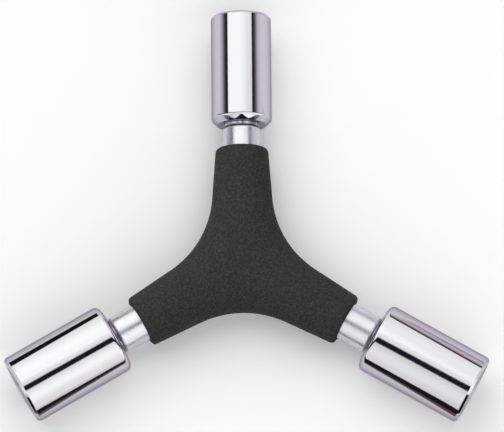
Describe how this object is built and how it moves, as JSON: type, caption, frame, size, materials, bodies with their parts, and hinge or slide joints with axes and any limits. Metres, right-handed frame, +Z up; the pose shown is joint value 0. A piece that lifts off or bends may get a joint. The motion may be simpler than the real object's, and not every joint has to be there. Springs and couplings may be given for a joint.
{
  "type": "y-wrench",
  "caption": "Y-shaped hand wrench with a chromed hexagon socket at the end of each arm, on round bars that meet under a moulded black grip.",
  "frame": {"origin": "middle of the tool's box at the level of the surface it lies on", "axes": "+Z up, square to the plane of the arms; +Y along the arm with the 8 mm socket; +X towards the side of the 10 mm socket"},
  "size_m": [0.1002, 0.0868, 0.015],
  "materials": {
    "grip_vinyl": "matt black moulded vinyl with a fine grain",
    "core_steel": "raw steel, hidden in the grip",
    "bar_plate": "chrome plate over drawn bar, a little satin",
    "socket_chrome": "polished chrome plate",
    "braze_plate": "plated braze metal, dull"
  },
  "bodies": {
    "root": {"grip": "grip_vinyl", "hub_core": "core_steel", "bar_8mm": "bar_plate", "bar_9mm": "bar_plate", "bar_10mm": "bar_plate", "socket_8mm": "socket_chrome", "socket_9mm": "socket_chrome", "socket_10mm": "socket_chrome", "braze_ring_8mm": "braze_plate", "braze_ring_9mm": "braze_plate", "braze_ring_10mm": "braze_plate"}
  },
  "joints": []
}
